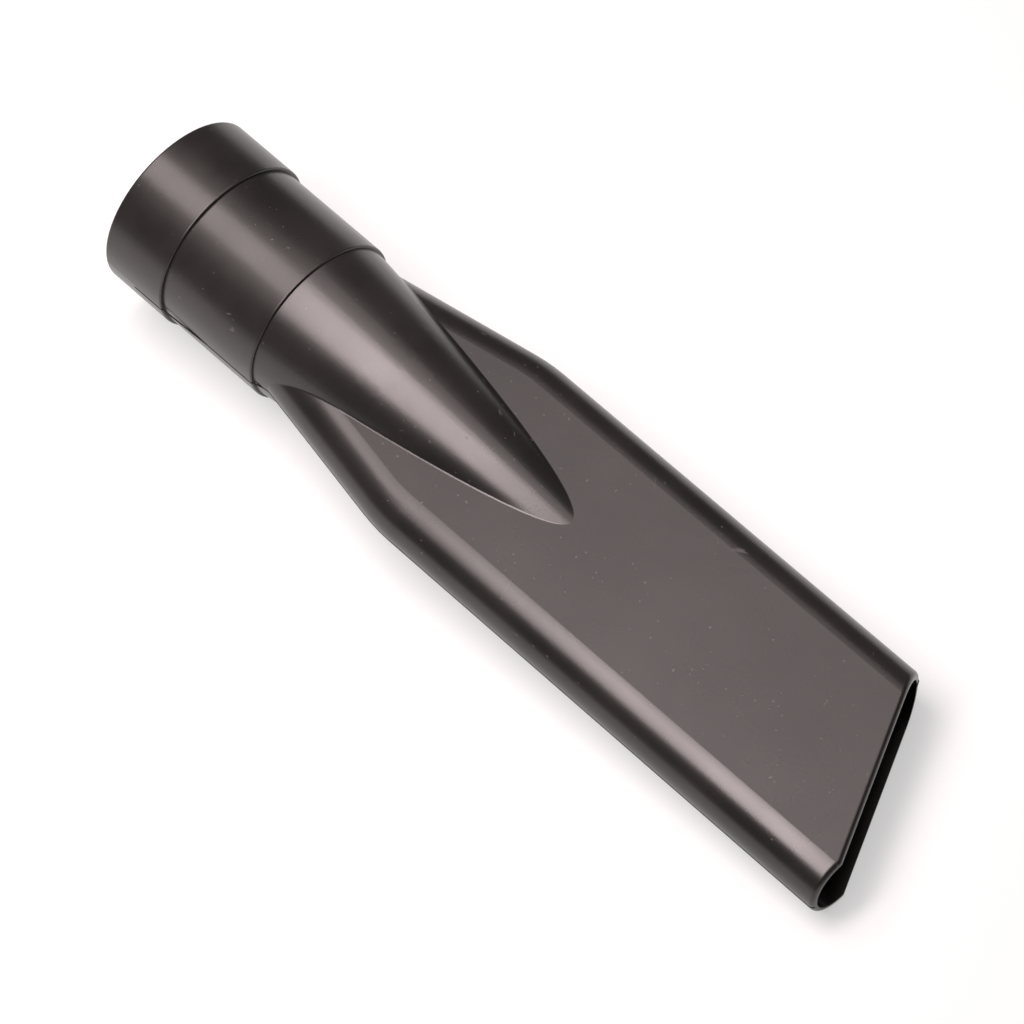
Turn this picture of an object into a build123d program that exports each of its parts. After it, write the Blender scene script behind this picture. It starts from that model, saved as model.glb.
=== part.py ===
# Crevice tool for a vacuum cleaner, blow moulded in one piece from black polypropylene.
# The origin is the centre of the socket's mouth. +X runs along the tool to the suction slot,
# +Z is square to the flat faces, and the slot reaches furthest on the -Y side.
# The tool is the same above and below its parting plane, so the upper half is made and mirrored.
import os
from math import radians, tan

from build123d import *

os.makedirs("parts", exist_ok=True)

# Round socket that pushes over a 38 mm wand
bore_d = 38.4
lead_in = 0.8
stop_length = 1.1
collar_wall = 2.0
collar_length = 17.7
sleeve_wall = 1.2
sleeve_length = 28.0
rim_round = 0.5
step_round = 0.4

# Neck, which runs out on each flat face as a long tongue
wall = 1.4
neck_step = 0.7
neck_length = 88.3
neck_bulge = 0.81
tongue_sink = 1.77
crease_fillet = 0.5

# Flat blade with full-round edges, which flares out of the neck
blade_width = 53.5
blade_thickness = 16.1
blade_root = 2.0
flare_sink = 1.2
flare_angle = 10.3
shoulder_radius = 45.0

# Mouth, slanted across the blade and cut square over its tip
tool_length = 221.3
mouth_angle = 25.5
square_tip = 8.9
kink_round = 1.2
lip_round = 1.05

# Sizes and places that follow from those above
bore_radius = bore_d / 2
collar_radius = bore_radius + collar_wall
sleeve_radius = bore_radius + sleeve_wall
neck_radius = sleeve_radius - neck_step
sleeve_end = collar_length + sleeve_length
bore_end = sleeve_end - stop_length
half_width = blade_width / 2
half_thickness = blade_thickness / 2
neck_end = sleeve_end + neck_length
neck_end_radius = half_thickness - tongue_sink
neck_middle = (sleeve_end + neck_end) / 2
neck_middle_radius = (neck_radius + neck_end_radius) / 2 + neck_bulge
flare_slope = tan(radians(flare_angle))
shoulder_x = sleeve_end + (half_width - neck_radius + flare_sink) / flare_slope
blade_start = sleeve_end - blade_root
kink_y = square_tip - half_width
reach = blade_width


def blade_half(inset):
    """Upper half of the blade, smaller by inset all round, swept along its flared edge."""
    height = half_thickness - inset
    side = half_width - inset
    bend_x = shoulder_x + inset * tan(radians(flare_angle / 2))
    start_side = side - (bend_x - blade_start) * flare_slope
    with BuildPart() as flat:
        with BuildLine() as edge:
            Polyline((blade_start, -start_side), (bend_x, -side), (tool_length + reach, -side))
            bend = edge.vertices().sort_by(Axis.X)[1]
            fillet(bend, shoulder_radius - inset)
        along = edge.line % 0
        inwards = Vector(0, 0, 1).cross(along)
        with BuildSketch(Plane(origin=edge.line @ 0, x_dir=inwards, z_dir=along)):
            with BuildLine():
                RadiusArc((height, height), (0, 0), -height)
                Polyline((0, 0), (side, 0), (side, height), (height, height))
            make_face()
        sweep(path=edge.line)
        mirror(about=Plane.XZ)
    return flat.part


# Upper half of the outer skin
with BuildPart() as skin:
    with BuildSketch() as outline:
        with BuildLine():
            Polyline(
                (sleeve_end, neck_radius),
                (sleeve_end, sleeve_radius),
                (collar_length, sleeve_radius),
                (collar_length, collar_radius),
                (0, collar_radius),
                (0, 0),
                (neck_end, 0),
                (neck_end, neck_end_radius),
            )
            # The neck is bulged along its length, and its end sinks into the blade
            Bezier(
                (sleeve_end, neck_radius),
                (neck_middle, neck_middle_radius + neck_bulge),
                (neck_end, neck_end_radius),
            )
        make_face()
        for corner, radius in (
            ((0, collar_radius), rim_round),
            ((collar_length, collar_radius), step_round),
            ((sleeve_end, sleeve_radius), step_round),
        ):
            vertex = outline.vertices().sort_by_distance(corner)[0]
            fillet(vertex, radius)
    revolve(axis=Axis.X, revolution_arc=180)

    # Blade, and the small fillet where the neck sinks into it
    add(blade_half(0))
    creases = skin.edges().filter_by(
        lambda edge: edge.geom_type == GeomType.BSPLINE and edge.center().Z > crease_fillet
    )
    fillet(creases, crease_fillet)

    # Mouth, with the outer edge of its lip rounded
    with BuildSketch() as beyond_mouth:
        with BuildLine():
            slant_end = tool_length - (reach - kink_y) * tan(radians(mouth_angle))
            Polyline(
                (tool_length, -reach),
                (tool_length, kink_y),
                (slant_end, reach),
                (tool_length + 2 * reach, reach),
                (tool_length + 2 * reach, -reach),
                close=True,
            )
        make_face()
        kink = beyond_mouth.vertices().sort_by_distance((tool_length, kink_y))[0]
        fillet(kink, kink_round)
    extrude(amount=blade_thickness, mode=Mode.SUBTRACT)
    mouth = skin.faces().filter_by(
        lambda face: face.center().X > tool_length - reach and face.normal_at().X > 0.5
    )
    lip = mouth.edges().filter_by(
        lambda edge: edge.center().Z > lip_round and abs(edge.tangent_at(0.5).Z) < 0.99
    )
    fillet(lip, lip_round)

# Upper half of the hollow inside: socket bore, neck and blade passage
with BuildPart() as hollow:
    with BuildSketch():
        with BuildLine():
            Polyline(
                (sleeve_end, neck_radius - wall),
                (bore_end, bore_radius),
                (lead_in, bore_radius),
                (0, bore_radius + lead_in),
                (0, 0),
                (neck_end, 0),
                (neck_end, neck_end_radius - wall),
                (neck_middle, neck_middle_radius - wall),
                close=True,
            )
        make_face()
    revolve(axis=Axis.X, revolution_arc=180)
    add(blade_half(wall))

with BuildPart() as crevice_tool:
    add(skin.part)
    add(hollow.part, mode=Mode.SUBTRACT)
    mirror(about=Plane.XY)

crevice_tool.part.label = "crevice_tool"
export_step(crevice_tool.part, "parts/crevice_tool.step")
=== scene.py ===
# Looks of the crevice tool: moulded black polypropylene on a pale table, under three soft overhead
# lamps. Lengths are metres in the part's own frame: +X runs from the socket to the slot, and +Z is
# square to the flat faces. Colours are linear.
from math import atan2, cos, pi, radians, sin

import bmesh
import bpy
from mathutils import Matrix, Vector


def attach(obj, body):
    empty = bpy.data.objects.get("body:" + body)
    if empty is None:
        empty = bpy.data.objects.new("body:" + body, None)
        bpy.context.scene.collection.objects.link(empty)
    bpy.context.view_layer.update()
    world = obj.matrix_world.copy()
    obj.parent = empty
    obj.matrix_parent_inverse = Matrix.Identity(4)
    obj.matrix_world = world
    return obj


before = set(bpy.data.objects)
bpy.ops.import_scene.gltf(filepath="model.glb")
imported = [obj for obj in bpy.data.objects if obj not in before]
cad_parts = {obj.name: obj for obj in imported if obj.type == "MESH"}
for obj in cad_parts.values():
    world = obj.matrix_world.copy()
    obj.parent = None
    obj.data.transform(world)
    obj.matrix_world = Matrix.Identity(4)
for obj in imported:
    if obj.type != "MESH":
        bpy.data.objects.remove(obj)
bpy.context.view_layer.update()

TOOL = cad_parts["crevice_tool"]

# Camera, fitted to the photograph's view. Lens and sensor are millimetres
AIM = Vector((0.1102, -0.0044, 0.0007))
CAMERA_AZIMUTH = radians(-37.07)
CAMERA_ELEVATION = radians(60.11)
CAMERA_ROLL = radians(-8.25)
CAMERA_DISTANCE = 1.3513
CAMERA_LENS = 223.8
SENSOR_WIDTH = 36
CLIP_END = 20

# Table, which is seen as white, and the dim room round it
TABLE_SIZE = 6.0
TABLE_COLOUR = (0.45, 0.45, 0.45, 1)
TABLE_GLOW = 0.5
ROOM_LIGHT = 0.04
WHITE = (1, 1, 1, 1)

# Lamps over the tool. The wide one hangs a little higher, so that it doesn't cut the others
LAMP_COLOUR = (1.0, 0.90, 0.895)
LAMP_HEIGHT = 0.6
WIDE_LAMP_RISE = 0.01

# Plastic: its colours, and its sheen as a range of roughness
BLACK = (0.0140, 0.0128, 0.0122, 1)
FADED_BLACK = (0.0215, 0.0195, 0.0185, 1)
MARK_COLOUR = (0.075, 0.070, 0.068, 1)
REFRACTIVE_INDEX = 1.55
GLOSS_TINT = (1.0, 0.955, 0.955, 1)
SKIN_ROUGHNESS = (0.262, 0.305)
MARK_DULLING = 0.15

# Noises of the plastic: scale per metre, and the band of the noise that shows
CLOUD_SCALE = 55.0
SHEEN_SCALE = 38.0
MIDDLE_BAND = (0.3, 0.7)
SPECK_SCALE = 1300.0
SPECK_BAND = (0.835, 0.86)
NOISE_ROUGHNESS = 0.55

# Scratches: hairlines, kept where a broader noise runs high. Each way is a turn and that threshold
HAIR_SCALE = 900.0
HAIR_STRETCH = (50, 1, 1)
HAIR_BAND = (0.70, 0.76)
GROUP_SCALE = 60.0
GROUP_STRETCH = (1.6, 1, 1)
GROUP_EDGE = 0.05
SCRATCH_WAYS = ((0.55, 0.60), (-0.9, 0.62))

# Moulded grain
GRAIN_SCALE = 2900.0
GRAIN_STRENGTH = 0.10
GRAIN_DEPTH = 0.0001

# The faint ridge that the mould's halves leave where they meet, from the rounded rim on
SEAM_HEIGHT = -0.0010
RIDGE_RADIUS = 0.00018
RIDGE_SINK = 0.00008
RIDGE_ROUGHNESS = 0.6
RIDGE_GLOSS = 0.12
RIM_ROUND = 0.0005
LEAST_OUTWARD = 0.3


def node(tree, kind, **sockets):
    """A shader node with some of its inputs set, by name."""
    made = tree.nodes.new(kind)
    for name, value in sockets.items():
        made.inputs[name.replace("_", " ")].default_value = value
    return made


def math_node(tree, operation, first, second):
    """A Math node fed by two sockets or numbers, as its output socket."""
    made = tree.nodes.new("ShaderNodeMath")
    made.operation = operation
    for value, socket in zip((first, second), made.inputs):
        if isinstance(value, float):
            socket.default_value = value
        else:
            tree.links.new(value, socket)
    return made.outputs[0]


def noise(tree, place, scale, detail, stretch=(1, 1, 1), turn=0.0):
    """Noise over the object's own coordinates, stretched and turned about Z, as its Fac socket."""
    mapping = tree.nodes.new("ShaderNodeMapping")
    mapping.vector_type = "TEXTURE"
    mapping.inputs["Scale"].default_value = stretch
    mapping.inputs["Rotation"].default_value = (0, 0, turn)
    tree.links.new(place, mapping.inputs["Vector"])
    made = node(tree, "ShaderNodeTexNoise", Scale=scale, Detail=detail, Roughness=NOISE_ROUGHNESS)
    tree.links.new(mapping.outputs[0], made.inputs["Vector"])
    return made.outputs["Fac"]


def ramp(tree, value, band, onto=(0.0, 1.0)):
    """Maps a socket's values over one band smoothly onto another, as an output socket."""
    made = tree.nodes.new("ShaderNodeMapRange")
    made.interpolation_type = "SMOOTHSTEP"
    for name, limit in zip(("From Min", "From Max", "To Min", "To Max"), (*band, *onto)):
        made.inputs[name].default_value = limit
    tree.links.new(value, made.inputs["Value"])
    return made.outputs[0]


def mix(tree, factor, first, second):
    """Colour between two, each a colour or a socket, as an output socket."""
    made = tree.nodes.new("ShaderNodeMix")
    made.data_type = "RGBA"
    blend, a, b = (made.inputs[number] for number in (0, 6, 7))
    for value, socket in ((factor, blend), (first, a), (second, b)):
        if isinstance(value, tuple):
            socket.default_value = value
        else:
            tree.links.new(value, socket)
    return made.outputs[2]


def new_plastic(name):
    """A new material, its node tree and the inputs of its plastic shader."""
    material = bpy.data.materials.new(name)
    material.use_nodes = True
    tree = material.node_tree
    return material, tree, tree.nodes["Principled BSDF"].inputs


def scratches(tree, place, turn, threshold):
    """Fine straight hairlines in one direction, where two stretched noises both run high."""
    hair = ramp(tree, noise(tree, place, HAIR_SCALE, 1.0, HAIR_STRETCH, turn), HAIR_BAND)
    group = noise(tree, place, GROUP_SCALE, 1.0, GROUP_STRETCH, turn)
    where = ramp(tree, group, (threshold, threshold + GROUP_EDGE))
    return math_node(tree, "MULTIPLY", hair, where)


def skin_material():
    """Black polypropylene with a fine grain, faint clouds, specks and a few scratches."""
    material, tree, skin = new_plastic("black_polypropylene")
    link = tree.links.new
    skin["IOR"].default_value = REFRACTIVE_INDEX
    skin["Specular Tint"].default_value = GLOSS_TINT
    place = tree.nodes.new("ShaderNodeTexCoord").outputs["Object"]

    # Marks: pale dust specks and hairline scratches
    specks = ramp(tree, noise(tree, place, SPECK_SCALE, 0.0), SPECK_BAND)
    lines = [scratches(tree, place, *way) for way in SCRATCH_WAYS]
    marks = math_node(tree, "MAXIMUM", specks, math_node(tree, "MAXIMUM", *lines))

    # Colour, a little uneven, and paler in the marks
    clouds = ramp(tree, noise(tree, place, CLOUD_SCALE, 4.0), MIDDLE_BAND)
    colour = mix(tree, clouds, BLACK, FADED_BLACK)
    link(mix(tree, marks, colour, MARK_COLOUR), skin["Base Color"])

    # Sheen, uneven in broad patches and duller in the marks
    patches = ramp(tree, noise(tree, place, SHEEN_SCALE, 3.0), MIDDLE_BAND, SKIN_ROUGHNESS)
    dulling = math_node(tree, "MULTIPLY", marks, MARK_DULLING)
    link(math_node(tree, "ADD", patches, dulling), skin["Roughness"])

    # Grain of the mould
    grain = node(tree, "ShaderNodeBump", Strength=GRAIN_STRENGTH, Distance=GRAIN_DEPTH)
    link(noise(tree, place, GRAIN_SCALE, 1.0), grain.inputs["Height"])
    link(grain.outputs[0], skin["Normal"])
    return material


def ridge_material():
    """The same plastic where the mould's halves met, with less sheen than the skin."""
    material, _, skin = new_plastic("parting_line")
    skin["Base Color"].default_value = BLACK
    skin["Roughness"].default_value = RIDGE_ROUGHNESS
    skin["Specular IOR Level"].default_value = RIDGE_GLOSS
    return material


def table_material():
    """Pale table, which stays white behind the object and keeps a soft shadow of it."""
    material = bpy.data.materials.new("pale_table")
    material.use_nodes = True
    tree = material.node_tree
    tree.nodes.clear()
    paper = node(tree, "ShaderNodeBsdfDiffuse", Color=TABLE_COLOUR)
    glow = node(tree, "ShaderNodeEmission", Color=WHITE, Strength=TABLE_GLOW)
    both = tree.nodes.new("ShaderNodeAddShader")
    pick = tree.nodes.new("ShaderNodeMixShader")
    out = tree.nodes.new("ShaderNodeOutputMaterial")
    ray = tree.nodes.new("ShaderNodeLightPath").outputs
    seen = math_node(tree, "MAXIMUM", ray["Is Camera Ray"], ray["Is Glossy Ray"])
    seen = math_node(tree, "MAXIMUM", seen, ray["Is Transmission Ray"])
    link = tree.links.new
    link(paper.outputs[0], both.inputs[0])
    link(glow.outputs[0], both.inputs[1])
    link(seen, pick.inputs[0])
    link(paper.outputs[0], pick.inputs[1])
    link(both.outputs[0], pick.inputs[2])
    link(pick.outputs[0], out.inputs[0])
    return material


def new_object(name, data):
    """A new object in the scene."""
    made = bpy.data.objects.new(name, data)
    bpy.context.scene.collection.objects.link(made)
    return made


def seam_outline(side):
    """Where the outer skin crosses the seam's height on the +Y or -Y side, as x and distance out."""
    outline = {}
    corners = TOOL.data.vertices
    for edge in TOOL.data.edges:
        below, above = sorted((corners[i] for i in edge.vertices), key=lambda v: v.co.z)
        outward = min(side * below.normal.y, side * above.normal.y)
        if outward > LEAST_OUTWARD and below.co.z < SEAM_HEIGHT < above.co.z:
            share = (SEAM_HEIGHT - below.co.z) / (above.co.z - below.co.z)
            crossing = below.co.lerp(above.co, share)
            x = round(crossing.x, 4)
            y = side * crossing.y
            if x > RIM_ROUND and y > 0:
                outline[x] = max(outline.get(x, 0), y)
    return sorted(outline.items())


def parting_ridge(name, side, material):
    """Faint ridge along the tool's outer edge, on the +Y or -Y side, at the seam's height."""
    outline = seam_outline(side)
    curve = bpy.data.curves.new(name, "CURVE")
    curve.dimensions = "3D"
    curve.bevel_depth = RIDGE_RADIUS
    curve.bevel_resolution = 2
    line = curve.splines.new("POLY")
    line.points.add(len(outline) - 1)
    for point, (x, y) in zip(line.points, outline):
        point.co = (x, side * (y - RIDGE_SINK), SEAM_HEIGHT, 1)
    curve.materials.append(material)
    ridge = new_object(name, curve)
    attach(ridge, "root")


def turns_up(first, second, third):
    """Whether the way over three points, each an x and a z, bends upwards at the second."""
    (x0, z0), (x1, z1), (x2, z2) = first, second, third
    return (x1 - x0) * (z2 - z0) > (z1 - z0) * (x2 - x0)


def table_contact():
    """A point where the resting tool touches the table, and the table's slope along X."""
    corners = TOOL.data.vertices
    points = sorted({(round(v.co.x, 6), round(v.co.z, 6)) for v in corners})
    under = []
    for point in points:
        while len(under) > 1 and not turns_up(*under[-2:], point):
            under.pop()
        under.append(point)

    # The tool's weight is over its middle, so it stands on the two points on either side of that
    middle = sum(v.co.x for v in corners) / len(corners)
    for (x0, z0), (x1, z1) in zip(under, under[1:]):
        if x0 <= middle <= x1:
            return Vector((x0, 0, z0)), atan2(z1 - z0, x1 - x0)


def make_table():
    """The table that the tool rests on, tilted as the tool lies."""
    contact, slope = table_contact()
    mesh = bpy.data.meshes.new("table")
    shape = bmesh.new()
    bmesh.ops.create_grid(shape, x_segments=1, y_segments=1, size=TABLE_SIZE / 2)
    shape.to_mesh(mesh)
    shape.free()
    mesh.materials.append(table_material())
    table = new_object("table", mesh)
    table.matrix_world = Matrix.Translation(contact) @ Matrix.Rotation(-slope, 4, "Y")


def soft_lamp(name, place, size, radiance):
    """A level rectangular lamp over the table, shining straight down."""
    lamp = bpy.data.lights.new(name, "AREA")
    lamp.shape = "RECTANGLE"
    lamp.size, lamp.size_y = size
    lamp.energy = radiance * pi * size[0] * size[1]
    lamp.color = LAMP_COLOUR
    new_object(name, lamp).location = place


def make_camera():
    """Camera turned about its own axis by the roll, so that the tool lies as in the photograph."""
    out = Vector((
        cos(CAMERA_ELEVATION) * cos(CAMERA_AZIMUTH),
        cos(CAMERA_ELEVATION) * sin(CAMERA_AZIMUTH),
        sin(CAMERA_ELEVATION),
    ))
    level = Vector((-sin(CAMERA_AZIMUTH), cos(CAMERA_AZIMUTH), 0))
    upright = out.cross(level)
    right = cos(CAMERA_ROLL) * level + sin(CAMERA_ROLL) * upright
    up = out.cross(right)
    lens = bpy.data.cameras.new("camera")
    lens.lens = CAMERA_LENS
    lens.sensor_width = SENSOR_WIDTH
    lens.clip_end = CLIP_END
    camera = new_object("camera", lens)
    place = Matrix((right, up, out)).transposed().to_4x4()
    place.translation = AIM + out * CAMERA_DISTANCE
    camera.matrix_world = place
    bpy.context.scene.camera = camera


def make_room():
    """Dim neutral room round the lamps."""
    world = bpy.data.worlds.new("room")
    bpy.context.scene.world = world
    world.use_nodes = True
    room = world.node_tree.nodes["Background"]
    room.inputs["Color"].default_value = WHITE
    room.inputs["Strength"].default_value = ROOM_LIGHT


TOOL.data.materials.clear()
TOOL.data.materials.append(skin_material())
seam = ridge_material()
parting_ridge("parting_ridge_left", 1, seam)
parting_ridge("parting_ridge_right", -1, seam)
make_table()
make_camera()
make_room()
soft_lamp("key", (-0.02, -0.20, LAMP_HEIGHT), (0.17, 0.56), 12.0)
soft_lamp("side", (-0.31, -0.07, LAMP_HEIGHT), (0.11, 0.36), 9.0)
soft_lamp("wide", (0.0, -0.09, LAMP_HEIGHT + WIDE_LAMP_RISE), (0.56, 0.97), 2.1)
bpy.context.scene.view_settings.view_transform = "Standard"
